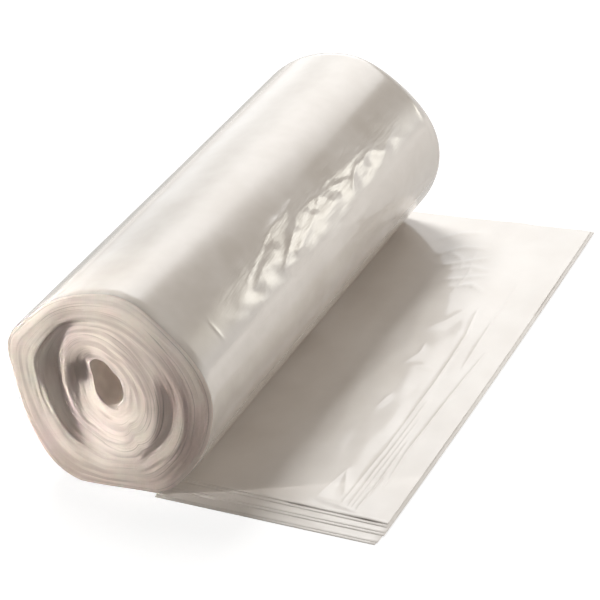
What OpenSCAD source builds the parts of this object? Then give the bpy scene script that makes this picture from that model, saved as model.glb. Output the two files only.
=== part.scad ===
// A roll of clear film bags, lying on its side with the loose end of the web drawn out flat.
// The bags are one long web of folded film, joined at tear lines and wound without a core,
// so the roll and its tail are one solid. Each end of the roll shows the folded edge of every
// turn as a ridge on one long spiral, and the turns have slid along the axis into a funnel with
// steps and dips.
// The tail shows the layers of the folded web as thin steps.
//
// Lengths are in millimetres. X is the way the tail lies, Y runs along the roll's axis from the
// near end to the far end, and Z is up. The origin is under the middle of the outline.

/* [Roll] */
// Diameter of the roll, measured between its soft corners
roll_d = 95; // [80:1:110]
// Length of the roll along its underside, between the highest turns of its two ends
roll_len = 241; // [150:1:300]
// How much further in each end lies at the top of the roll than at the bottom
end_lean = 8.5; // [0:0.5:12]
// Width of the flat spot that the roll has sunk to
flat_w = 36; // [20:1:50]
// How far the soft corners stand out from the round
corner_h = 4.5; // [1:0.25:6]
// How much of the corners is left at the far end, which is rounder
corner_far = 0.5; // [0:0.1:1]

/* [Open centre] */
// Long width of the oval opening down the middle of the roll
hole_long = 21.5; // [14:0.5:30]
// Short width of the opening
hole_short = 15; // [8:0.5:20]
// Direction of the long width, from X towards Z
hole_dir = 110; // [0:1:180]
// How far the opening lies to the left of the roll's axis
hole_left = 4.5; // [0:0.25:8]
// How far the opening lies above the roll's axis
hole_up = 2; // [0:0.25:6]

/* [Film] */
// Thickness of one layer of the folded web, with the air that it holds
layer_t = 0.5; // [0.4:0.05:0.8]
// Number of layers that the folded web shows at its edge
layer_n = 3; // [2:1:4]

/* [Ends of the roll] */
// Height of a turn's folded edge over the groove beside it
ridge_h = 1.5; // [0.6:0.1:2.5]
// How unevenly the turns stand
uneven_h = 0.8; // [0:0.1:1]
// How far the outermost turn is rounded back from the end
rim_drop = 2; // [0.5:0.25:5]
// How much further it is rounded back on the right
rim_more = 2.5; // [0:0.25:4]
// Width of that rounded rim
rim_w = 7; // [3:0.5:10]
// Depth of the step down from the outer turns to the inner ones, on the left
step_h = 5.5; // [1:0.5:8]
// How far the turn at the foot of that step stands up again
lip_h = 1.6; // [0:0.1:2.5]
// Depth of the funnel that the inner turns make round the opening
funnel_h = 6.5; // [1:0.5:9]
// Depth of the dip between the rim and the inner turns, on the right
dip_h = 2.8; // [0.5:0.1:5]
// How far the turns are pressed in at the kink on their lower right
kink_h = 3; // [0:0.25:4]
// How far the steps and dips of the far end are turned against those of the near end
far_turn = 150; // [0:5:360]

/* [Tail] */
// Distance from the roll's axis to the torn end of the tail
tail_reach = 119; // [95:0.5:150]
// How far the torn end runs back towards the roll across the tail
tail_skew = 4; // [0:0.5:12]
// How far the top layer's near edge lies behind the roll's near end
tail_back = 15.5; // [12:0.5:20]
// How far the tail's far edge lies past the roll's far end, beside the roll
tail_past = 5.5; // [2:0.5:20]
// How much further the far edge lies at the torn end
tail_flare = 5; // [0:0.5:12]
// How far each layer's near edge stands out from the layer above
near_step = 6; // [1:0.25:6]
// How far each layer stands out from the layer above at the torn end
end_step = 0.6; // [0.3:0.1:2]
// How far each layer stands out from the layer above at the far edge
far_step = 1.2; // [0.3:0.1:3]
// Height of the wrinkles that run along the tail beside its torn end
wrinkle_h = 0.9; // [0.1:0.1:1.5]
// Width of a wrinkle
wrinkle_w = 5; // [3:0.5:8]
// Distance between the wrinkles
wrinkle_gap = 13; // [8:0.5:16]

/* [Hidden] */

film_colour = [0.93, 0.92, 0.90];
web_t = layer_n * layer_t;

// Soft corners of the section: direction, share of corner_h, and angle over which each fades.
corners = [[12, 0.75, 26], [74, 0.6, 18], [159, 1, 14], [232, 0.6, 18], [299, 0.3, 12]];

// The web leaves the roll at the right-hand edge of the flat spot, and every turn starts there.
leave_dir = 270 + asin(flat_w / roll_d);
axis_z = -free_r(leave_dir, 0) * sin(leave_dir);
leave_x = axis_z * tan(leave_dir - 270);

// Turns between the opening and the outside, and the points around each of them. A thicker
// roll has more turns, and fewer points on each.
mean_gap = (roll_d - (hole_long + hole_short) / 2) / 2;
turns = round(mean_gap / web_t) - 1;
ridge_points = 1200;
around = min(56, floor(ridge_points / turns));
last = turns * around;

// Where the wound turns stand highest between two grooves, as a share of one turn's thickness.
ridge_at = 0.55;

// Dips in the ends: distance in from the outside, width, depth, the side that is deepest, and
// how one-sided the dip is, from 0 all round to 1 on that side only.
dips = [
    [16.5, 3, dip_h, 0, 1],
    [24.5, 1.5, -lip_h, 180, 1],
];

// Falls towards the opening: the distances in from the outside where the fall starts and ends,
// its depth, the side that is deepest, and how one-sided it is.
falls = [
    [15.5, 23.5, step_h, 190, 1],
    [21, 38, funnel_h, 180, 0.15],
];

// Kink in the turns: its direction, the angle over which it fades, where it is deepest, as a
// share of the way out from the opening, and its reach to each side of that.
kink = [305, 12, 0.42, 0.22];

// Tail: the stretch over which its steps open out beside the roll, and its last wrinkle's
// distance from the torn end.
open_len = 5;
open_x = leave_x + open_len;
wrinkle_in = 9;
wrinkles = 3;
tail_parts = 24;

function wrap(a) = a - 360 * round(a / 360);
function bell(x) = exp(-x * x);
function eased(x) = let (s = max(0, min(1, x))) s * s * (3 - 2 * s);

// What is left of a one-sided dip in this direction: all of it on its deepest side.
function facing(dir, deepest, one_sided) = 1 - one_sided * (1 - cos(dir - deepest)) / 2;

// Radius of the section before its own weight flattens it, at the near (0) or far (1) end.
function free_r(dir, end) =
    let (keep = 1 - end * (1 - corner_far))
    roll_d / 2 + corner_h * keep * sum([for (c = corners) c[1] * bell(wrap(dir - c[0]) / c[2])]);

function sum(v, i = 0) = i < len(v) ? v[i] + sum(v, i + 1) : 0;

// The same radius, cut off by the surface that the roll lies on.
function outer_r(dir, end) =
    sin(dir) < 0 ? min(free_r(dir, end), -axis_z / sin(dir)) : free_r(dir, end);

function hole_r(dir) =
    let (a = hole_long / 2, b = hole_short / 2, c = cos(dir - hole_dir), s = sin(dir - hole_dir))
    a * b / sqrt(pow(b * c, 2) + pow(a * s, 2));

// Point of the spiral after t turns from the opening, and out by a share of one more turn's
// thickness: [x, z] at the near or far end.
function spiral(t, out, end) =
    let (
        dir = leave_dir + 360 * t,
        share = (t + out) / (turns + 1),
        pressed = kink_h * exp(-abs(wrap(dir - kink[0])) / kink[1])
            * bell((share - kink[2]) / kink[3]),
        r = hole_r(dir) * (1 - share) + outer_r(dir, end) * share - pressed
    )
    [r * cos(dir) - hole_left * (1 - share), axis_z + r * sin(dir) + hole_up * (1 - share)];

// How far the end face lies in from the rim's plane at that point.
function face_depth(t, out, end) =
    let (
        dir = leave_dir + 360 * t + end * far_turn,
        outside = (turns + 1 - t - out) * web_t,
        rim = (rim_drop + rim_more * facing(dir, 0, 1)) * pow(max(0, 1 - outside / rim_w), 2)
    )
    rim + uneven_h * (1 + sin(t * 222)) / 2 * min(1, outside / rim_w)
        + sum([for (d = dips) d[2] * bell((outside - d[0]) / d[1]) * facing(dir, d[3], d[4])])
        + sum([for (f = falls)
            f[2] * eased((outside - f[0]) / (f[1] - f[0])) * facing(dir, f[3], f[4])]);

// Height of the ridges over the grooves beside them after t turns: they fade towards the rim.
function ridge_over(t) = ridge_h * min(1, (turns + 1 - t) * web_t / rim_w);

// A point of an end face: p is [x, z], and depth is how far it lies in from the end's plane,
// which leans back from the foot of the roll to its top.
function at_end(p, depth, end) =
    let (inside = depth + end_lean * p[1] / (2 * axis_z))
    [p[0], end == 0 ? inside : roll_len - inside, p[1]];

// Grooves and folded edges of the end faces.
function grooves(end) =
    [for (j = [0 : last + around])
        let (t = j / around)
        at_end(spiral(t, 0, end), face_depth(t, 0, end) + ridge_over(t), end)];

function ridges(end) =
    [for (j = [0 : last])
        let (t = j / around)
        at_end(spiral(t, ridge_at, end), face_depth(t, ridge_at, end), end)];

// Edges of the tail: how far along it a station lies, from 0 beside the roll to 1 at its end.
function tail_x(share, layer, far) =
    let (end_x = tail_reach - far * tail_skew + (layer_n - 1 - layer) * end_step)
    open_x + (end_x - open_x) * share;

function wrinkle_z(x) =
    wrinkle_h * sum([for (i = [0 : wrinkles - 1])
        bell((tail_reach - wrinkle_in - i * wrinkle_gap - x) / (wrinkle_w / 2))]);

// One station's near or far edge, from the top of the top layer down to the underside.
function tail_edge(share, far) =
    [for (i = [0 : 2 * layer_n - 1])
        let (
            layer = layer_n - 1 - floor(i / 2),
            below = layer_n - 1 - layer,
            x = tail_x(share, layer, far),
            z = (layer + 1 - i % 2) * layer_t + (i == 0 ? wrinkle_z(x) : 0),
            near_y = tail_back - below * near_step,
            far_y = roll_len + tail_past + tail_flare * share + below * far_step
        )
        [x, far == 1 ? far_y : near_y, z]];

near_grooves = grooves(0);
near_ridges = ridges(0);
far_grooves = grooves(1);
far_ridges = ridges(1);
near_edges = [for (k = [0 : tail_parts]) each tail_edge(k / tail_parts, 0)];
far_edges = [for (k = [0 : tail_parts]) each tail_edge(k / tail_parts, 1)];

// Places of those lists in the one list of points.
from_ridge = len(near_grooves);
from_far = from_ridge + len(near_ridges);
from_far_ridge = from_far + len(far_grooves);
from_edge = from_far_ridge + len(far_ridges);
from_far_edge = from_edge + len(near_edges);
edge_n = 2 * layer_n;

roll_points = concat(near_grooves, near_ridges, far_grooves, far_ridges, near_edges, far_edges);

function near_groove(j) = j;
function near_ridge(j) = from_ridge + j;
function far_groove(j) = from_far + j;
function far_ridge(j) = from_far_ridge + j;
function near_edge(k, i) = from_edge + k * edge_n + i;
function far_edge(k, i) = from_far_edge + k * edge_n + i;

function quad(a, b, c, d) = [[a, b, c], [a, c, d]];

// The end faces, each one strip from the opening out to the rim.
end_faces = [for (j = [0 : last - 1]) each concat(
    quad(near_groove(j), near_groove(j + 1), near_ridge(j + 1), near_ridge(j)),
    quad(near_ridge(j), near_ridge(j + 1), near_groove(j + 1 + around), near_groove(j + around)),
    quad(far_groove(j), far_ridge(j), far_ridge(j + 1), far_groove(j + 1)),
    quad(far_ridge(j), far_groove(j + around), far_groove(j + 1 + around), far_ridge(j + 1)))];

// The outside of the last turn, the wall of the opening, and the web's inner end.
wall_faces = [for (j = [0 : around - 1]) each concat(
    quad(near_groove(last + j), near_groove(last + j + 1),
        far_groove(last + j + 1), far_groove(last + j)),
    quad(near_groove(j), far_groove(j), far_groove(j + 1), near_groove(j + 1)))];

inner_end_faces = concat(
    quad(near_groove(0), near_ridge(0), far_ridge(0), far_groove(0)),
    quad(near_ridge(0), near_groove(around), far_groove(around), far_ridge(0)));

// The tail between its stations, and its torn end.
tail_faces = [for (k = [0 : tail_parts - 1]) each concat(
    quad(near_edge(k, 0), far_edge(k, 0), far_edge(k + 1, 0), near_edge(k + 1, 0)),
    quad(near_edge(k, edge_n - 1), near_edge(k + 1, edge_n - 1),
        far_edge(k + 1, edge_n - 1), far_edge(k, edge_n - 1)),
    [for (i = [0 : edge_n - 2]) each concat(
        quad(near_edge(k, i), near_edge(k + 1, i), near_edge(k + 1, i + 1), near_edge(k, i + 1)),
        quad(far_edge(k, i), far_edge(k, i + 1), far_edge(k + 1, i + 1), far_edge(k + 1, i)))])];

torn_end_faces = [for (i = [0 : edge_n - 2]) each
    quad(near_edge(tail_parts, i), far_edge(tail_parts, i),
        far_edge(tail_parts, i + 1), near_edge(tail_parts, i + 1))];

// Where the tail leaves the roll: the last turn's three points open out into the steps.
top_point = last;
under_point = last + around;
function middle_fan(ridge, edge, i, flip) =
    flip ? [ridge, edge + i + 1, edge + i] : [ridge, edge + i, edge + i + 1];

leave_faces = concat(
    quad(near_groove(top_point), far_groove(top_point), far_edge(0, 0), near_edge(0, 0)),
    quad(near_groove(under_point), near_edge(0, edge_n - 1),
        far_edge(0, edge_n - 1), far_groove(under_point)),
    quad(near_groove(top_point), near_edge(0, 0), near_edge(0, 1), near_ridge(last)),
    quad(near_ridge(last), near_edge(0, edge_n - 2), near_edge(0, edge_n - 1),
        near_groove(under_point)),
    quad(far_groove(top_point), far_ridge(last), far_edge(0, 1), far_edge(0, 0)),
    quad(far_ridge(last), far_groove(under_point), far_edge(0, edge_n - 1),
        far_edge(0, edge_n - 2)),
    [for (i = [1 : edge_n - 3]) middle_fan(near_ridge(last), near_edge(0, 0), i, false)],
    [for (i = [1 : edge_n - 3]) middle_fan(far_ridge(last), far_edge(0, 0), i, true)]);

xs = [for (p = roll_points) p[0]];
ys = [for (p = roll_points) p[1]];
middle = [(min(xs) + max(xs)) / 2, (min(ys) + max(ys)) / 2, 0];

module bag_roll()
    color(film_colour)
    polyhedron(
        points = [for (p = roll_points) p - middle],
        faces = concat(end_faces, wall_faces, inner_end_faces, tail_faces, torn_end_faces,
            leave_faces),
        convexity = 20);

bag_roll();
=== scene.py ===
import math

import bmesh
import bpy
import numpy as np
from mathutils import Matrix, Vector


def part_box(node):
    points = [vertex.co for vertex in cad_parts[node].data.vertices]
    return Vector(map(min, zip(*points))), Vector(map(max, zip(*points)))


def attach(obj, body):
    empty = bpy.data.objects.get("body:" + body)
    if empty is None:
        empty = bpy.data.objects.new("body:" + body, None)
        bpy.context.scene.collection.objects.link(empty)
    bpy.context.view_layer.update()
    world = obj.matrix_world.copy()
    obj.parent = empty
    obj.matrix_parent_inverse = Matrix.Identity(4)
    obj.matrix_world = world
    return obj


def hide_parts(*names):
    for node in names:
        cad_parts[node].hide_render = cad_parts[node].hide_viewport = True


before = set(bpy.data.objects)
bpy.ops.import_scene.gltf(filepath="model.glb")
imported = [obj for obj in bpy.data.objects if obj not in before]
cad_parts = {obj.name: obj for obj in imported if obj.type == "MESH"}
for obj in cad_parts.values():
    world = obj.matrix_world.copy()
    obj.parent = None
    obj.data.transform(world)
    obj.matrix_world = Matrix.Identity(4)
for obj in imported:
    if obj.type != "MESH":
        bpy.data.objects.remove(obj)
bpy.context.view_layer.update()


# The wound roll. One web of folded clear film, wound on itself without a core, so each end
# shows the folded edges of its turns on one long spiral, and the turns have slid along the
# axis into soft dips. The outermost turn is a smooth wrap that has slackened into creases.

# Sizes of the roll, in metres and degrees. Those of its outline are as in the part's source.
ROLL = {
    "Roll diameter": 0.095,
    "Roll length": 0.241,
    "End lean": 0.0085,
    "Flat width": 0.036,
    "Corner height": 0.0045,
    "Far corners kept": 0.5,
    "Opening long width": 0.0215,
    "Opening short width": 0.015,
    "Opening direction": 110.0,
    "Opening to the left": 0.0045,
    "Opening above": 0.002,
    "Web thickness": 0.0015,
    "Turns": 25,
    "Fold height": 0.0012,
    "Fold unevenness": 0.7,
    "Band height": 0.0020,
    "Band width": 0.0029,
    "Turn sway": 0.0004,
    "Rim tuck": 0.0008,
    "Far turn": 150.0,
    "Seed": 4.0,
}

# Soft corners of the section: direction, share of the corner height, angle over which it fades.
CORNERS = [(12, 0.75, 26), (74, 0.6, 18), (159, 1, 14), (232, 0.6, 18), (299, 0.3, 12)]

# How deep the turns lie in the ends, in mm, at these distances in from the outside, in mm. There
# is one list for every 60 degrees round the axis, from the right side.
DEPTH_STEP = 60
DEPTHS = [
    [(0, 5.0), (2, 3.6), (5, 2.2), (8.5, 0.7), (11, 0.4), (13.5, 1.6), (16.5, 3.0), (19, 1.6),
     (21.5, 0), (24, 0.4), (30, 2.6), (36, 5.5), (40, 6.5)],
    [(0, 3.6), (2, 2.4), (5, 1.4), (8, 0.7), (12, 0.5), (16, 2.2), (18, 2.6), (22, 1.0),
     (25, 1.0), (30, 2.8), (36, 5.0), (40, 6.0)],
    [(0, 2.4), (2, 1.2), (5, 0.4), (9, 0), (13, 0.8), (17, 2.6), (20, 3.4), (24, 3.2), (30, 4.5),
     (36, 6.5), (40, 7.5)],
    [(0, 2.8), (2, 1.4), (5, 0.4), (8, 0), (13, 0.4), (16, 1.4), (20, 5.2), (23, 7.2),
     (24.6, 5.8), (26.5, 7.4), (31, 10.0), (36, 11.5), (38, 10.6), (40, 11.0)],
    [(0, 1.6), (3, 0.5), (8, 0), (14, 0.6), (18, 2.4), (22, 5.5), (25, 5.6), (30, 7.0),
     (36, 8.0), (40, 8.5)],
    [(0, 4.2), (3, 2.6), (7, 1.0), (8.6, 0.5), (10, 1.1), (12.5, 0.6), (15, 2.0), (18, 0.8),
     (20, 0.4), (26, 2.4), (33, 5.0), (40, 6.5)],
]
DEEPEST = 12.0
FARTHEST_IN = 40.0

# Where the turns stand fanned out, one after another: direction and the angle over which it
# fades, and distance in from the outside and its reach.
FANNED_AT, FANNED_FADE = 275, 25
FANNED_IN, FANNED_REACH = 0.020, 0.010

# The outer turns are tucked in over this distance from the ends, and this far in. The corners
# and the flat spot fade towards the rounder inner turns by this power.
TUCK_ALONG = 0.004
TUCK_INWARD = 0.005
ROUNDER = 2.5
# Bands and folds grow to their full height over this distance from the rim.
RIM = 0.006

# Kinks in the turns, in the plane of the ends: direction, angle over which it fades, share of
# the way out, reach to each side of that, and how far it pushes the turns out.
KINKS = [
    (305, 12, 0.42, 0.22, -0.0030),
    (262, 18, 0.62, 0.25, 0.0016),
    (125, 14, 0.55, 0.25, 0.0010),
]

# Steps between the points round a turn, across its folds, along the wrap and along the wall of
# the opening, and the heights of the two folded edges that a turn shows.
AROUND = 160
ACROSS = 4
ALONG = 370
ALONG_OPENING = 16
FOLD_PROFILE = [(0, 0), (0.25, 0.8), (0.5, 0.35), (0.75, 1), (1, 0)]

# Where the middle of the part's outline lies from the roll's axis and near end: its right side
# is the torn end of the loose tail, and its far side is the tail's far corner.
TORN_END = 0.1202
FAR_CORNER = 0.2539
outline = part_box("bag_roll")[1]
MIDDLE = (TORN_END - outline[0], FAR_CORNER - outline[1])


class Wire:
    """A socket of a node tree. Python's operators on wires add Math nodes."""

    def __init__(self, tree, socket=None):
        self.tree = tree
        self.socket = socket

    def node(self, kind, settings, inputs, output=0):
        """Adds a node with these settings, values and links, and returns one of its outputs."""
        made = self.tree.nodes.new(kind)
        for name, value in settings.items():
            if name == "curve":
                points = made.mapping.curves[0].points
                while len(points) < len(value):
                    points.new(0.5, 0.5)
                for point, place in zip(points, value):
                    point.location = place
                made.mapping.update()
            else:
                setattr(made, name, value)
        for key, value in inputs.items():
            for one in value if isinstance(value, list) else [value]:
                if isinstance(one, Wire):
                    self.tree.links.new(one.socket, made.inputs[key])
                else:
                    made.inputs[key].default_value = one
        return Wire(self.tree, made.outputs[output])

    def of(self, operation, *others):
        values = dict(enumerate((self, *others)))
        return self.node("ShaderNodeMath", {"operation": operation}, values)

    def __add__(self, other):
        return self.of("ADD", other)

    __radd__ = __add__

    def __mul__(self, other):
        return self.of("MULTIPLY", other)

    __rmul__ = __mul__

    def __sub__(self, other):
        return self.of("SUBTRACT", other)

    def __rsub__(self, other):
        return self * -1 + other

    def __truediv__(self, other):
        return self.of("DIVIDE", other)

    def between(self, low, high):
        """This value as a share of the way from low to high, eased at both ends."""
        inputs = {"Value": self, "From Min": low, "From Max": high}
        return self.node("ShaderNodeMapRange", {"interpolation_type": "SMOOTHSTEP"}, inputs)

    def point(self, x, y, z):
        return self.node("ShaderNodeCombineXYZ", {}, {"X": x, "Y": y, "Z": z})

    def noise(self, place, scale, detail=2.0, roughness=0.5, w=0.0):
        inputs = {"Vector": place, "Scale": scale, "Detail": detail, "Roughness": roughness,
                  "W": w}
        return self.node("ShaderNodeTexNoise", {"noise_dimensions": "4D"}, inputs)

    def mixed(self, first, second):
        """A colour from first to second, by this value."""
        inputs = {0: self, 6: first, 7: second}
        return self.node("ShaderNodeMix", {"data_type": "RGBA"}, inputs, 2)


def bell(x):
    """1 at 0, falling smoothly away to both sides."""
    return (x * x * -1).of("EXPONENT")


def cusp(x):
    """1 at 0, falling away to both sides from a sharp point."""
    return (x.of("ABSOLUTE") * -1).of("EXPONENT")


def wrapped(angle):
    """The same angle between -180 and 180 degrees."""
    return angle - (angle / 360).of("ROUND") * 360


def free_radius(size, direction, along):
    """Radius of the roll in that direction, as if it weren't resting on anything."""
    kept = 1 - along * (1 - size["Far corners kept"])
    bumps = 0
    for middle, share, fade in CORNERS:
        bumps = bumps + bell(wrapped(direction - middle) / fade) * share
    return size["Roll diameter"] / 2 + size["Corner height"] * kept * bumps


def wound_points(tree, size):
    """The place of every point of the roll, from its turn, its place across the turn's folds,
    and its share of the way from the near end to the far end."""
    read = {"data_type": "FLOAT"}
    turn, out, along = (tree.node("GeometryNodeInputNamedAttribute", read, {"Name": name})
                        for name in ("turn", "out", "along"))
    leave = (size["Flat width"] / size["Roll diameter"]).of("ARCSINE").of("DEGREES") + 270
    axis_z = free_radius(size, leave, tree.math_zero) * leave.of("RADIANS").of("SINE") * -1
    direction = leave + turn.of("FRACT") * 360
    angle = direction.of("RADIANS")
    last = size["Turns"] + 1
    share = (turn + out) / last
    outside = (last - turn - out) * size["Web thickness"]

    weight = angle.of("SINE") * -1
    resting = axis_z / weight.of("MAXIMUM", 0.001)
    outer = free_radius(size, direction, along).of("MINIMUM", resting)
    a = size["Opening long width"] / 2
    b = size["Opening short width"] / 2
    across = (direction - size["Opening direction"]).of("RADIANS")
    long_part = b * across.of("COSINE")
    short_part = a * across.of("SINE")
    opening = a * b / (long_part * long_part + short_part * short_part).of("SQRT")

    round_place = tree.point(angle.of("COSINE"), angle.of("SINE"), share * 6)
    sway = tree.noise(round_place, 1.4, w=size["Seed"]) - 0.5
    sway = sway * size["Turn sway"] * share * (1 - share) * 24
    to_end = along.of("MINIMUM", 1 - along) * size["Roll length"]
    tuck = (1 - to_end / TUCK_ALONG).of("MAXIMUM", 0)
    tuck = tuck * (1 - outside / TUCK_INWARD).of("MAXIMUM", 0)
    even = size["Roll diameter"] / 2
    radius = opening * (1 - share) + even * share + (outer - even) * share.of("POWER", ROUNDER)
    radius = radius + sway - size["Rim tuck"] * tuck * tuck
    for middle, fade, at, reach, push in KINKS:
        bend = cusp(wrapped(direction - middle) / fade) * bell((share - at) / reach)
        radius = radius + bend * push
    x = radius * angle.of("COSINE") - size["Opening to the left"] * (1 - share)
    z = radius * angle.of("SINE") + size["Opening above"] * (1 - share) + axis_z
    z = z.of("MAXIMUM", 0)

    profile = tree.node("ShaderNodeFloatCurve", {"curve": FOLD_PROFILE}, {"Value": out})
    depths = []
    folds = []
    tints = []
    for end in (0, 1):
        side = direction + size["Far turn"] * end
        depth = 0
        for number, heights in enumerate(DEPTHS):
            away = wrapped(side - number * DEPTH_STEP).of("ABSOLUTE")
            weight = (1 - away / DEPTH_STEP).between(0, 1)
            points = [(inward / FARTHEST_IN, deep / DEEPEST) for inward, deep in heights]
            inward = {"Value": outside / (FARTHEST_IN / 1000)}
            deep = tree.node("ShaderNodeFloatCurve", {"curve": points}, inward)
            depth = depth + weight * deep * (DEEPEST / 1000)
        kept = (outside / RIM).of("MINIMUM", 1)
        band_place = tree.point(angle.of("COSINE") * 0.9, angle.of("SINE") * 0.9,
                                outside / size["Band width"])
        band = tree.noise(band_place, 1.0, 1.0, w=size["Seed"] + 5 * end) - 0.5
        fanned = bell(wrapped(side - FANNED_AT) / FANNED_FADE)
        fanned = fanned * bell((outside - FANNED_IN) / FANNED_REACH)
        depth = depth + band * 2 * size["Band height"] * kept * (0.6 + fanned * 1.6)
        fold_place = tree.point(angle.of("COSINE") * 0.8, angle.of("SINE") * 0.8,
                                (turn + out) * 1.3)
        uneven = tree.noise(fold_place, 1.0, 1.5, w=size["Seed"] + 3 * end)
        uneven = uneven.between(0.38, 0.62)
        height = profile * (1 - size["Fold unevenness"] * uneven)
        folds.append(1 - (1 - profile) * (1 - uneven))
        tints.append(band + 0.5)
        depth = depth + size["Fold height"] * kept * (1 - height)
        depths.append(depth)
    lean = size["End lean"] * z / (2 * axis_z)
    deep = depths[0] * (1 - along) + depths[1] * along
    y = (lean + depths[0]) * (1 - along) + (size["Roll length"] - depths[1] - lean) * along
    fold = folds[0] * (1 - along) + folds[1] * along
    tint = tints[0] * (1 - along) + tints[1] * along
    return tree.point(x - MIDDLE[0], y - MIDDLE[1], z), {"fold": fold, "deep": deep, "tint": tint}


# Points lie closer together where the outer turn is creased: by how much, and at which share
# of a turn.
CLOSER = 0.6
CLOSEST = 0.3495


def eased_turn(turn):
    """Moves evenly spread turns together where the creases are."""
    whole = turn.of("FLOOR")
    part = turn - whole
    wave = ((part - CLOSEST) * math.tau).of("SINE") + math.sin(CLOSEST * math.tau)
    return whole + part - wave * (CLOSER / math.tau)


def wound_roll_shape(tree, size):
    """The ends, the wrap, the wall of the opening and the two ends of the web, as one skin."""
    turns = size["Turns"]
    rows = ALONG + 1
    across = ACROSS + 1
    # Columns and rows of points, the number of the material, and what the two of them measure.
    patches = [
        (ROLL["Turns"] * AROUND + 1, across, 1, lambda u, v: (u * turns, v, 0)),
        (ROLL["Turns"] * AROUND + 1, across, 1, lambda u, v: (u * turns, v, 1)),
        (AROUND + 1, rows, 0, lambda u, v: (u + turns, 0, v)),
        (AROUND + 1, ALONG_OPENING + 1, 2, lambda u, v: (u, 0, v)),
        (across, ALONG_OPENING + 1, 1, lambda u, v: (0, u, v)),
        (across, rows, 0, lambda u, v: (turns, u, v)),
    ]
    skins = []
    for columns, lines, folded, places in patches:
        skin = tree.node("GeometryNodeMeshGrid", {}, {0: 1, 1: 1, 2: columns, 3: lines})
        spot = tree.node("GeometryNodeInputPosition", {}, {})
        u = tree.node("ShaderNodeSeparateXYZ", {}, {0: spot}, 0) + 0.5
        v = tree.node("ShaderNodeSeparateXYZ", {}, {0: spot}, 1) + 0.5
        turn, out, along = places(u, v)
        if isinstance(turn, Wire):
            turn = eased_turn(turn)
        for name, value in (("turn", turn), ("out", out), ("along", along), ("folded", folded)):
            inputs = {"Geometry": skin, "Name": name, "Value": value}
            skin = tree.node("GeometryNodeStoreNamedAttribute", {"data_type": "FLOAT"}, inputs)
        skins.append(skin)
    skin = tree.node("GeometryNodeJoinGeometry", {}, {0: skins})
    place, looks = wound_points(tree, size)
    for name, value in looks.items():
        inputs = {"Geometry": skin, "Name": name, "Value": value}
        skin = tree.node("GeometryNodeStoreNamedAttribute", {"data_type": "FLOAT"}, inputs)
    return tree.node("GeometryNodeSetPosition", {}, {"Geometry": skin, "Position": place})


def made_by_nodes(name, sizes, shape, material, others):
    """A plain mesh object from a tree of Geometry Nodes with these named sizes, and with these
    other materials where the attribute "folded" has their number."""
    group = bpy.data.node_groups.new(name, "GeometryNodeTree")
    group.interface.new_socket("Mesh", in_out="OUTPUT", socket_type="NodeSocketGeometry")
    for label, value in sizes.items():
        kind = "NodeSocketInt" if isinstance(value, int) else "NodeSocketFloat"
        group.interface.new_socket(label, in_out="INPUT", socket_type=kind)
    entry = group.nodes.new("NodeGroupInput")
    tree = Wire(group)
    tree.math_zero = tree.node("ShaderNodeValue", {}, {})
    mesh = shape(tree, {label: Wire(group, entry.outputs[label]) for label in sizes})
    mesh = tree.node("GeometryNodeRealizeInstances", {}, {0: mesh})
    mesh = tree.node("GeometryNodeSetMaterial", {}, {"Geometry": mesh, "Material": material})
    read = {"data_type": "FLOAT"}
    marked = tree.node("GeometryNodeInputNamedAttribute", read, {"Name": "folded"})
    for number, other in others.items():
        inputs = {"Geometry": mesh, "Selection": marked.of("GREATER_THAN", number - 0.5),
                  "Material": other}
        mesh = tree.node("GeometryNodeSetMaterial", {}, inputs)
    group.links.new(mesh.socket, group.nodes.new("NodeGroupOutput").inputs[0])

    piece = bpy.data.objects.new(name, bpy.data.meshes.new(name))
    bpy.context.scene.collection.objects.link(piece)
    modifier = piece.modifiers.new(name, "NODES")
    modifier.node_group = group
    for item in group.interface.items_tree:
        if item.in_out == "INPUT":
            modifier[item.identifier] = sizes[item.name]
    result = piece.evaluated_get(bpy.context.evaluated_depsgraph_get())
    plain = bpy.data.meshes.new_from_object(result)
    piece.modifiers.clear()
    piece.data = plain
    return piece


def closed_up(piece, gap, sharp):
    """Merges doubles, turns the faces outwards and smooths them, except across edges that
    turn by more than the sharp angle."""
    work = bmesh.new()
    work.from_mesh(piece.data)
    bmesh.ops.remove_doubles(work, verts=work.verts, dist=gap)
    bmesh.ops.recalc_face_normals(work, faces=work.faces)
    open_edges = sum(1 for edge in work.edges if len(edge.link_faces) != 2)
    for edge in work.edges:
        edge.smooth = edge.calc_face_angle(0) < sharp
    work.to_mesh(piece.data)
    work.free()
    piece.data.polygons.foreach_set("use_smooth", [True] * len(piece.data.polygons))
    print(piece.name, "triangles", sum(len(p.vertices) - 2 for p in piece.data.polygons),
          "open edges", open_edges)


def film(name):
    """A new material, its node tree, its shader and the place on the piece."""
    material = bpy.data.materials.new(name)
    material.use_nodes = True
    tree = Wire(material.node_tree)
    shader = material.node_tree.nodes["Principled BSDF"]
    place = tree.node("ShaderNodeTexCoord", {}, {}, "Object")
    return material, tree, shader, place


def plug(shader, values):
    """Links or sets these inputs of a shader."""
    for label, value in values.items():
        if isinstance(value, Wire):
            value.tree.links.new(value.socket, shader.inputs[label])
        else:
            shader.inputs[label].default_value = value


# The outer turn: glossy film over many layers of itself, milky inside, with a hard clear skin.
# Its colours are the warm white of thick film, and where light gets lost between its layers.
MILKY = (0.66, 0.60, 0.54, 1)
SHADED = (0.57, 0.505, 0.44, 1)

# Height of the roll's axis above the table.
AXIS_Z = 0.0449

wound_film, tree, shader, place = film("wound film")
clouds = tree.noise(place, 38, 3, 0.55)
x, y, z = (tree.node("ShaderNodeSeparateXYZ", {}, {0: place}, axis) for axis in range(3))
angle = (z - AXIS_Z).of("ARCTAN2", x + MIDDLE[0]).of("DEGREES")
from_near = y + MIDDLE[1]
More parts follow.
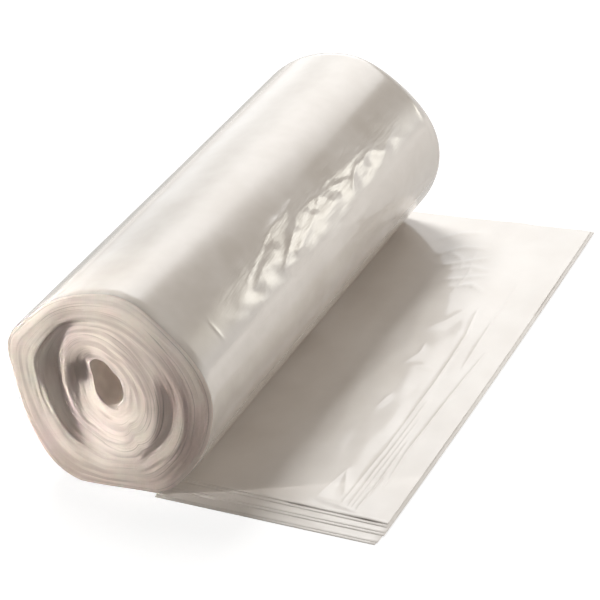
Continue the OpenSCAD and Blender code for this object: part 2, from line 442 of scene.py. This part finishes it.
# Fine creases fill the slack part of the outer turn.
slack = angle.between(8, 26) * angle.between(50, 42)
slack = slack * from_near.between(0.030, 0.070) * from_near.between(0.225, 0.185)
fine_place = tree.point(angle * 0.42 - from_near * 40, from_near * 55, 0)
fine = 1 - (tree.noise(fine_place, 1, 2, 0.6) - 0.5).of("ABSOLUTE") * 4
streak_place = tree.node("ShaderNodeMapping", {}, {"Vector": place, "Scale": (60, 900, 60)})
streaks = tree.noise(streak_place, 1, 2, 0.6)
ripples = tree.noise(place, 420, 2, 0.5)
height = ripples * 0.5 + streaks * 0.5 + fine * slack * 9
bump = tree.node("ShaderNodeBump", {}, {"Strength": 0.06, "Distance": 0.0004, "Height": height})
plug(shader, {
    "Base Color": clouds.between(0.3, 0.7).mixed(SHADED, MILKY),
    "Roughness": 0.17 + clouds * 0.1,
    "IOR": 2.3,
    "Coat Weight": 1.0,
    "Coat Roughness": 0.06,
    "Coat IOR": 1.6,
    "Normal": bump,
})

# The folded edges: pinkish or greenish cream, brownish in bands, with painted shade in the
# grooves between the folded edges, and painted brown shade in the deep places between the turns.
PINKISH = (0.84, 0.70, 0.63, 1)
GREENISH = (0.82, 0.725, 0.635, 1)
BROWNISH = (0.60, 0.485, 0.425, 1)
GROOVE_SHADE_AND_WALL_BROWN = (0.46, 0.365, 0.31, 1)
DEEP_SHADE = (0.64, 0.53, 0.465, 1)

folded_edges, tree, shader, place = film("folded edges")
fold, deep, tint = (tree.node("ShaderNodeAttribute", {"attribute_name": name}, {}, "Fac")
                    for name in ("fold", "deep", "tint"))
clouds = tree.noise(place, 60, 3, 0.55)
ripples = tree.noise(place, 900, 3, 0.6)
cream = clouds.between(0.35, 0.65).mixed(PINKISH, GREENISH)
cream = (tint * 0.9 + clouds * 0.1).between(0.36, 0.58).mixed(BROWNISH, cream)
# Painted shade: brown in the grooves between the folded edges, where the fold is low.
cream_with_groove_shade = (fold * 0.9 + clouds * 0.4).between(0.1, 0.8).mixed(GROOVE_SHADE_AND_WALL_BROWN, cream)
bump = tree.node("ShaderNodeBump", {}, {"Strength": 0.15, "Distance": 0.0004, "Height": ripples})
plug(shader, {
    # Painted shade: browner where the turns lie deeper in the end.
    "Base Color": deep.between(0.002, 0.011).mixed(cream_with_groove_shade, DEEP_SHADE),
    "Roughness": 0.34 + clouds * 0.15,
    "IOR": 1.5,
    "Coat Weight": 0.35,
    "Coat Roughness": 0.18,
    "Coat IOR": 1.5,
    "Normal": bump,
})

# The wall of the opening, with a painted glow for the light that reaches it through the film
# around it.
inner_film, tree, shader, place = film("inner film")
clouds = tree.noise(place, 60, 2, 0.5)
plug(shader, {
    "Base Color": clouds.between(0.3, 0.7).mixed(GROOVE_SHADE_AND_WALL_BROWN, GREENISH),
    "Roughness": 0.35 + clouds * 0.1,
    "IOR": 1.5,
    # Painted glow: the wall glows faintly, though no lamp is there.
    "Emission Color": (0.66, 0.60, 0.52, 1),
    "Emission Strength": 0.12,
})

wound_roll = made_by_nodes("wound_roll", ROLL, wound_roll_shape, wound_film,
                           {1: folded_edges, 2: inner_film})
closed_up(wound_roll, gap=0.00002, sharp=math.pi)

# Creases of the slack outer turn: the points that a crease runs through, as direction and
# distance from the near end, its height and its width.
CREASES = [
    ([(36, 0.064), (41, 0.080), (45.5, 0.094), (46.5, 0.101), (46, 0.106)], 0.00045, 0.0014),
    ([(45, 0.106), (46.5, 0.112), (47.5, 0.119)], 0.00035, 0.0012),
    ([(26.5, 0.087), (30, 0.094), (35, 0.104), (39.5, 0.114)], 0.00055, 0.0018),
    ([(39, 0.108), (41, 0.118), (40.5, 0.130), (38, 0.144)], 0.00034, 0.0034),
    ([(36, 0.154), (39, 0.163), (38.5, 0.176), (35, 0.190)], 0.00036, 0.0032),
    ([(36, 0.128), (40, 0.137), (42, 0.148)], 0.00040, 0.0014),
    ([(31, 0.066), (35, 0.076), (36.5, 0.083)], 0.00025, 0.0012),
    ([(27, 0.100), (31, 0.118), (35, 0.128)], 0.00030, 0.0022),
    ([(27, 0.155), (33, 0.163), (36, 0.171)], 0.00040, 0.0014),
    ([(33, 0.168), (35, 0.178), (34, 0.187)], 0.00040, 0.0016),
    ([(38, 0.142), (35, 0.150), (34, 0.158)], 0.00030, 0.0009),
    ([(27, 0.188), (31, 0.196), (33, 0.206)], 0.00025, 0.0016),
    ([(15, 0.138), (13, 0.150), (14, 0.162)], 0.00045, 0.0022),
    ([(20, 0.120), (17, 0.128), (18, 0.136)], 0.00030, 0.0018),
    ([(26, 0.0315), (37, 0.0315)], 0.00012, 0.0005),
    ([(12, 0.2270), (30, 0.2285), (46, 0.2310)], 0.00036, 0.0007),
    ([(18, 0.2320), (34, 0.2335), (50, 0.2345)], 0.00030, 0.0006),
]


def near_line(across, along, points):
    """Distance of each point of a flat sheet from a line through these points, and its share
    of the way along the line."""
    nearest = np.full(across.shape, np.inf)
    place = np.zeros(across.shape)
    for number, ((a0, b0), (a1, b1)) in enumerate(zip(points, points[1:])):
        da, db = a1 - a0, b1 - b0
        share = ((across - a0) * da + (along - b0) * db) / (da * da + db * db)
        share = np.clip(share, 0, 1)
        gap = np.hypot(across - a0 - share * da, along - b0 - share * db)
        place = np.where(gap < nearest, (number + share) / (len(points) - 1), place)
        nearest = np.minimum(gap, nearest)
    return nearest, place


def crease(across, along, points, high, wide):
    """Height of a sharp crease that dies away at both its ends."""
    gap, share = near_line(across, along, points)
    return high * np.exp(-gap / wide) * np.sin(np.pi * (0.08 + 0.84 * share)) ** 0.7


# Shallow dents between the creases: height, how many to a metre across and along, and the
# angle at which they start.
DENTS = [(0.00007, 52, 21, 0.4), (0.00005, -44, 38, 2.1), (0.00004, 81, -33, 4.4),
         (0.00004, 25, 61, 1.3), (0.00003, 110, 68, 5.2)]
# Sharper folds between these, which run almost along the roll.
FACETS = [(0.00006, 95, -22, 0.9), (0.00003, 150, 31, 3.3), (0.00003, 61, -58, 5.0)]


def dented(across, along, dents, folded=False):
    """The sum of these waves, bent a little, and sharply folded if so wanted."""
    height = 0
    for high, a, b, start in dents:
        bend = 1.4 * np.sin(math.tau * (13 * along + 31 * across) + 2 * start) * folded
        wave = np.sin(math.tau * (a * across + b * along) + start + bend)
        height = height + high * (np.arcsin(wave) * 2 / np.pi if folded else wave)
    return height


def near_to(values, low, high, fade):
    """1 between low and high, and fading to 0 outside them."""
    share = np.clip(np.minimum(values - low, high - values) / fade + 1, 0, 1)
    return share * share * (3 - 2 * share)


spots = np.zeros(len(wound_roll.data.vertices) * 3)
wound_roll.data.vertices.foreach_get("co", spots)
spots = spots.reshape(-1, 3)
turn_of = np.zeros(len(spots))
wound_roll.data.attributes["turn"].data.foreach_get("value", turn_of)
along_of = np.zeros(len(spots))
wound_roll.data.attributes["along"].data.foreach_get("value", along_of)
from_axis = spots[:, [0, 2]] + (MIDDLE[0], -AXIS_Z)
radius = np.hypot(from_axis[:, 0], from_axis[:, 1])
angle = np.arctan2(from_axis[:, 1], from_axis[:, 0])
arc = angle * ROLL["Roll diameter"] / 2
from_near = spots[:, 1] + MIDDLE[1]
lift = np.zeros(len(spots))
for points, high, wide in CREASES:
    line = [(math.radians(a) * ROLL["Roll diameter"] / 2, b) for a, b in points]
    lift = np.maximum(lift, crease(arc, from_near, line, high, wide))
slack = near_to(np.degrees(angle), 28, 40, 12) * near_to(from_near, 0.075, 0.180, 0.045)
lift += (dented(arc, from_near, DENTS) + dented(arc, from_near, FACETS, True)) * slack
# Only the outer turn is creased, and not at its two ends.
SMOOTH_END = 0.05
lift *= (turn_of >= ROLL["Turns"] - 0.001) * np.clip(along_of / SMOOTH_END, 0, 1)
lift *= np.clip((1 - along_of) / SMOOTH_END, 0, 1)
spots[:, [0, 2]] += from_axis / radius[:, None] * lift[:, None]
wound_roll.data.vertices.foreach_set("co", spots.ravel())
wound_roll.data.update()
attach(wound_roll, "root")
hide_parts("bag_roll")


# The loose tail. The end of the same web, drawn out flat on the table. It is the folded web's
# own layers, which show as steps along the near edge and stand out a little at the torn end,
# with wrinkles that run along the roll where the film was bent before.

# Layers from the lowest to the top one: near edge and torn end, in metres from the roll's near
# end and from its axis.
LAYERS = [
    (0.0022, 0.1188),
    (0.0034, 0.1194),
    (0.0080, 0.1202),
    (0.0094, 0.1200),
    (0.0140, 0.1194),
    (0.0156, 0.1190),
]
LAYER_HEIGHT = 0.00025
# Share of its height that a layer fills, so that a thin gap shows between two of them.
FILLED = 0.92
# How far the upper side of a layer is drawn back at its edges, and over what distance.
SLOPE = 0.0002
SLOPE_FADE = 0.0003
# Where the tail starts under the roll, and how much nearer to the axis its torn end is at the
# far corner.
TAIL_START = 0.0165
TAIL_SKEW = 0.004
SKEW_LENGTH = 0.249
# The far edge, from the roll's near end: at the roll, how much farther at the torn end, and how
# far each layer stands out beyond the one above it.
FAR_EDGE = 0.2435
FAR_EDGE_SKEW = 0.006
FAR_EDGE_STEP = 0.0004
# The two top layers' near edges run this much nearer towards the torn end.
NEAR_EDGE_SKEW = 0.0012
# The soft bead along a folded near edge: its height, its place and its width.
BEAD_HIGH = 0.00018
BEAD_IN = 0.0008
BEAD_WIDE = 0.0007
# How far the top layer stands off those below it where it is wrinkled.
STAND_OFF = 0.00031
# Columns and rows of points, and by what power the rows lie closer together towards the near
# edge, of the top layer and of the others. The columns lie closer towards the torn end.
TOP_GRID = (250, 188, 1.2)
LOWER_GRID = (12, 30, 3)
CLOSER_TO_END = 0.7

# Wrinkles: the points that a wrinkle runs through, as distance from the axis and from the near
# end, its height and its width.
WRINKLES = [
    ([(0.0905, 0.170), (0.0940, 0.150), (0.0960, 0.110), (0.0965, 0.060), (0.0950, 0.022)],
     0.00050, 0.0007),
    ([(0.0987, 0.098), (0.0990, 0.060), (0.0985, 0.019)], 0.00045, 0.0006),
    ([(0.1008, 0.085), (0.1010, 0.050), (0.1003, 0.018)], 0.00035, 0.0005),
    ([(0.1030, 0.068), (0.1037, 0.040), (0.1027, 0.018)], 0.00048, 0.0006),
    ([(0.1080, 0.140), (0.1065, 0.100), (0.1058, 0.060), (0.1070, 0.036)], 0.00042, 0.0006),
    ([(0.0700, 0.185), (0.0790, 0.190), (0.0860, 0.186)], 0.00060, 0.0016),
    ([(0.0660, 0.200), (0.0730, 0.204), (0.0820, 0.203)], 0.00060, 0.0018),
    ([(0.1000, 0.195), (0.1010, 0.160), (0.1030, 0.125)], 0.00030, 0.0009),
    ([(0.0835, 0.0212), (0.0930, 0.0195), (0.1045, 0.0172)], 0.00045, 0.0012),
    ([(0.0765, 0.122), (0.0800, 0.131), (0.0790, 0.138)], 0.00060, 0.0018),
    ([(0.0780, 0.1215), (0.0840, 0.1215), (0.0905, 0.1210)], 0.00040, 0.0012),
    ([(0.0790, 0.088), (0.0810, 0.098)], 0.00055, 0.0016),
    ([(0.0835, 0.023), (0.0870, 0.042), (0.0930, 0.028)], 0.00060, 0.0020),
    ([(0.0740, 0.150), (0.0800, 0.158), (0.0860, 0.172)], 0.00045, 0.0020),
    ([(0.0560, 0.215), (0.0650, 0.210), (0.0700, 0.200)], 0.00050, 0.0020),
    ([(0.0700, 0.215), (0.0740, 0.198), (0.0730, 0.182)], 0.00045, 0.0018),
    ([(0.0480, 0.224), (0.0560, 0.231), (0.0660, 0.234)], 0.00050, 0.0015),
    ([(0.0540, 0.212), (0.0620, 0.219), (0.0720, 0.221)], 0.00055, 0.0015),
    ([(0.0600, 0.202), (0.0690, 0.208), (0.0780, 0.214)], 0.00060, 0.0016),
    ([(0.0650, 0.189), (0.0730, 0.194), (0.0830, 0.199)], 0.00060, 0.0016),
]
# Shallow dents where the tail is wrinkled, like those of the outer turn.
TAIL_DENTS = [(0.00010, 38, 9, 0.4), (0.00007, -29, 17, 2.1), (0.00006, 61, -13, 4.4),
              (0.00005, 12, 41, 1.3), (0.00003, 90, 28, 5.2)]


def sheet(across, along, top, bottom):
    """Points and faces of a thin closed sheet between two height fields on one grid. Its near
    edge and its torn end slope, as a folded edge and a stretched tear do."""
    rows, columns = top.shape
    from_edge = along - along[0]
    from_end = across[:, -1:] - across
    upper = np.stack([across - SLOPE * np.exp(-from_end / SLOPE_FADE),
                      along + SLOPE * np.exp(-from_edge / SLOPE_FADE), top], -1).reshape(-1, 3)
    lower = np.stack([across, along, bottom], -1).reshape(-1, 3)
    index = np.arange(rows * columns).reshape(rows, columns)
    a, b, c, d = index[:-1, :-1], index[:-1, 1:], index[1:, 1:], index[1:, :-1]
    faces = np.stack([a, b, c, d], -1).reshape(-1, 4)
    under = faces[:, ::-1] + rows * columns
    rim = np.concatenate([index[0, :-1], index[:-1, -1], index[-1, :0:-1], index[:0:-1, 0]])
    after = np.roll(rim, -1)
    walls = np.stack([rim, rim + rows * columns, after + rows * columns, after], -1)
    return np.concatenate([upper, lower]), np.concatenate([faces, under, walls])


tail_points = []
tail_faces = []
count = 0
for number, (near_edge, torn_end) in enumerate(LAYERS):
    is_top = number == len(LAYERS) - 1
    columns, rows, closer = TOP_GRID if is_top else LOWER_GRID
    share_x, share_y = np.meshgrid(np.linspace(0, 1, columns) ** CLOSER_TO_END,
                                   np.linspace(0, 1, rows) ** closer)
    below_top = len(LAYERS) - 1 - number
    far_edge = FAR_EDGE + FAR_EDGE_SKEW * share_x + FAR_EDGE_STEP * below_top
    edge_line = near_edge - NEAR_EDGE_SKEW * share_x * (below_top < 2)
    along = edge_line + (far_edge - edge_line) * share_y
    end = torn_end - TAIL_SKEW * (along / SKEW_LENGTH) ** 2
    across = TAIL_START + (end - TAIL_START) * share_x
    lift = np.zeros(along.shape)
    for points, high, wide in WRINKLES:
        lift = np.maximum(lift, crease(across, along, points, high, wide))
    dents = dented(across, along, TAIL_DENTS) + STAND_OFF
    lift += dents * near_to(across, 0.07, 0.108, 0.02)
    lift *= is_top
    bead = BEAD_HIGH * np.exp(-((along - edge_line - BEAD_IN) / BEAD_WIDE) ** 2)
    base = number * LAYER_HEIGHT
    top = base + LAYER_HEIGHT * FILLED + lift + bead
    points, faces = sheet(across, along, top, base + lift)
    tail_points.append(points - (MIDDLE[0], MIDDLE[1], 0))
    tail_faces.append(faces + count)
    count += len(points)

tail_mesh = bpy.data.meshes.new("loose_tail")
tail_mesh.from_pydata(np.concatenate(tail_points).tolist(), [],
                      np.concatenate(tail_faces).tolist())
loose_tail = bpy.data.objects.new("loose_tail", tail_mesh)
bpy.context.scene.collection.objects.link(loose_tail)
closed_up(loose_tail, gap=0.000001, sharp=1.2)

# Paler than the roll, because fewer layers lie on each other.
THIN = (0.85, 0.80, 0.75, 1)
CLOUDED = (0.78, 0.725, 0.67, 1)
tail_film, tree, shader, place = film("tail film")
clouds = tree.noise(place, 30, 3, 0.55)
ripples = tree.noise(place, 420, 2, 0.5)
bump = tree.node("ShaderNodeBump", {}, {"Strength": 0.05, "Distance": 0.0004, "Height": ripples})
plug(shader, {
    "Base Color": clouds.between(0.3, 0.7).mixed(CLOUDED, THIN),
    "Roughness": 0.26 + clouds * 0.1,
    "IOR": 1.7,
    "Coat Weight": 1.0,
    "Coat Roughness": 0.06,
    "Coat IOR": 1.5,
    "Normal": bump,
})
loose_tail.data.materials.append(tail_film)
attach(loose_tail, "root")


# The table and the light. A plain pale table, a light above the roll on its left that casts
# its shadow, a narrow one that grazes the near end, and soft ones from the front and the right.
# Two cards behind the roll show only in its gloss, one above it and one low on its right.

TABLE_SIZE = 12
TABLE_Z = -0.0002
bpy.ops.mesh.primitive_grid_add(x_subdivisions=2, y_subdivisions=2, size=TABLE_SIZE,
                                location=(0, 0, TABLE_Z))
table = bpy.context.object
table.name = "table"
table_finish = bpy.data.materials.new("pale table")
table_finish.use_nodes = True
tree = Wire(table_finish.node_tree)
shader = table_finish.node_tree.nodes["Principled BSDF"]
spot = tree.node("ShaderNodeTexCoord", {}, {}, "Object")
x = tree.node("ShaderNodeSeparateXYZ", {}, {0: spot}, 0)
# A painted glow that the film's gloss sees in the table: painted shade dims it under the roll,
# and it is brighter to both sides.
painted_floor_glow = 0.2 + x.between(-0.05, 0.15) * 0.5 + x.between(0.12, 0.45) * 0.3
painted_floor_glow = painted_floor_glow + x.between(-0.2, -0.5) * 0.33
mirrored = tree.node("ShaderNodeLightPath", {}, {}, "Is Glossy Ray")
seen = (tree.node("ShaderNodeLightPath", {}, {}, "Is Camera Ray") * 0.6 + mirrored * painted_floor_glow
        + tree.node("ShaderNodeLightPath", {}, {}, "Is Transmission Ray") * 0.6)
plug(shader, {"Base Color": (0.30, 0.29, 0.28, 1), "Roughness": 0.9,
              "Specular IOR Level": 0.1, "Emission Strength": 1.4})
# Painted reflection: the table's glow in the film's gloss is a little warm.
white = mirrored.mixed((1, 1, 1, 1), (1, 0.965, 0.925, 1))
plug(shader, {"Emission Color": seen.of("MINIMUM", 1).mixed((0, 0, 0, 1), white)})
table.data.materials.append(table_finish)

# The room behind the table: a white backdrop that fades into a dim room above it.
world = bpy.data.worlds.new("studio")
bpy.context.scene.world = world
world.use_nodes = True
tree = Wire(world.node_tree)
toward = tree.node("ShaderNodeTexCoord", {}, {}, "Generated")
upward = tree.node("ShaderNodeSeparateXYZ", {}, {0: toward}, 2)
BRIGHT_SIDE = (0.80, 0.15, 0.58)
facing = tree.node("ShaderNodeVectorMath", {"operation": "DOT_PRODUCT"},
                   {0: toward, 1: BRIGHT_SIDE}, "Value")
room = facing.of("MAXIMUM", 0).mixed((0.05, 0.048, 0.045, 1), (0.28, 0.265, 0.245, 1))
backdrop = (1 - upward.between(0.10, 0.40)).mixed((0.22, 0.21, 0.20, 1), (1, 1, 1, 1))
mirrored = (tree.node("ShaderNodeLightPath", {}, {}, "Is Glossy Ray")
            + tree.node("ShaderNodeLightPath", {}, {}, "Is Transmission Ray"))
seen = tree.node("ShaderNodeLightPath", {}, {}, "Is Camera Ray")
room = seen.mixed(mirrored.of("MINIMUM", 1).mixed(room, backdrop), (1, 1, 1, 1))
world.node_tree.links.new(room.socket, world.node_tree.nodes["Background"].inputs["Color"])

# The lights stand round this point, inside the roll.
AIM = Vector((-0.02, 0, 0.045))


def soft_light(name, place, behind, upright, width, height, radiance, colour, fade, least=0):
    """A flat light at that place from the roll, with this direction behind it, and its height
    along the upright line. It fades towards its edges over these shares of its width and
    height, and at its foot only to the least share of its strength."""
    lamp = bpy.data.lights.new(name, "AREA")
    lamp.shape = "RECTANGLE"
    lamp.size = width
    lamp.size_y = height
    lamp.energy = radiance * math.pi * width * height
    lamp.color = colour
    lamp.use_nodes = True
    tree = Wire(lamp.node_tree)
    spot = tree.node("ShaderNodeNewGeometry", {}, {}, "Parametric")
    glow = 1.0
    for axis, (low, high) in enumerate(fade):
        at = tree.node("ShaderNodeSeparateXYZ", {}, {0: spot}, axis)
        foot = least if axis else 0
        rise = foot + (1 - foot) * at.between(0, low)
        glow = rise * (1 - at.between(1 - high, 1)) * glow
    lamp.node_tree.links.new(glow.socket, lamp.node_tree.nodes["Emission"].inputs["Strength"])
    back = Vector(behind).normalized()
    up = (Vector(upright) - Vector(upright).dot(back) * back).normalized()
    turned = Matrix((up.cross(back), up, back)).transposed().to_4x4()
    holder = bpy.data.objects.new(name, lamp)
    holder.matrix_world = Matrix.Translation(AIM + Vector(place)) @ turned
    holder.visible_camera = False
    bpy.context.scene.collection.objects.link(holder)
    return holder


UP = (0, 0, 1)
WARM = (1, 0.985, 0.97)
BLUISH = (0.96, 0.985, 1)
WHITE = (1, 1, 1)
YELLOWISH = (1, 0.97, 0.86)
THIN_FADE = ((0.1, 0.1), (0.1, 0.1))
WIDE_FADE = ((0.2, 0.2), (0.2, 0.2))
overhead = Vector((-0.36, 0.34, 0.87))
side = Vector((-0.78, -0.46, 0.30))
front = Vector((-0.3, -1, 0.15))
beside_near_end = Vector((-0.034, -0.120, 0.008))

overhead_light = soft_light("overhead light", overhead * 1.3, overhead, (0, 1, 0), width=0.6,
                            height=0.6, radiance=17.5, colour=BLUISH, fade=THIN_FADE)
side_light = soft_light("side light", beside_near_end + side * 0.7, side, UP, width=0.05,
                        height=0.12, radiance=2.15, colour=WARM, fade=WIDE_FADE)
side_light.data.spread = math.radians(5)
soft_light("front light", front * 1.2, front, UP, width=1.0, height=0.5, radiance=0.85,
           colour=WARM, fade=WIDE_FADE)
right_light = soft_light("right light", (1, 0, 0.17), (1, 0, 0.14), UP, width=1.0, height=0.4,
                         radiance=4.3, colour=WARM, fade=WIDE_FADE)
back_card = soft_light("back card", (-0.558, 1.2, 0.833), (0, 1, 0), (0.85, 0, 0.527),
                       width=1.25, height=2.4, radiance=1.67, colour=WHITE,
                       fade=((0.06, 0.06), (0.60, 0.19)), least=0.05)
low_card = soft_light("low card", (0.80, 0.885, 0.35), (0.655, 0.737, 0.1), UP, width=0.24,
                      height=0.75, radiance=3.6, colour=YELLOWISH,
                      fade=((0.5, 0.01), (0.5, 0.7)))
for lamp in (overhead_light, right_light):
    lamp.visible_glossy = False
for card in (back_card, low_card):
    card.visible_diffuse = False

# The camera, at the photograph's place: from the roll's axis and near end, and in degrees.
CAMERA_X, CAMERA_Y, CAMERA_Z = 0.50495, -0.66435, 0.59762
TURNED = 31.265
TILTED_DOWN = 31.855
LEANING = -8.011
camera = bpy.data.cameras.new("camera")
camera.lens = 145.66
camera.sensor_width = 36
camera.clip_start = 0.05
holder = bpy.data.objects.new("camera", camera)
holder.matrix_world = (Matrix.Translation((CAMERA_X - MIDDLE[0], CAMERA_Y - MIDDLE[1], CAMERA_Z))
                       @ Matrix.Rotation(math.radians(TURNED), 4, "Z")
                       @ Matrix.Rotation(math.radians(90 - TILTED_DOWN), 4, "X")
                       @ Matrix.Rotation(math.radians(LEANING), 4, "Z"))
bpy.context.scene.collection.objects.link(holder)
bpy.context.scene.camera = holder
bpy.context.scene.view_settings.view_transform = "Standard"
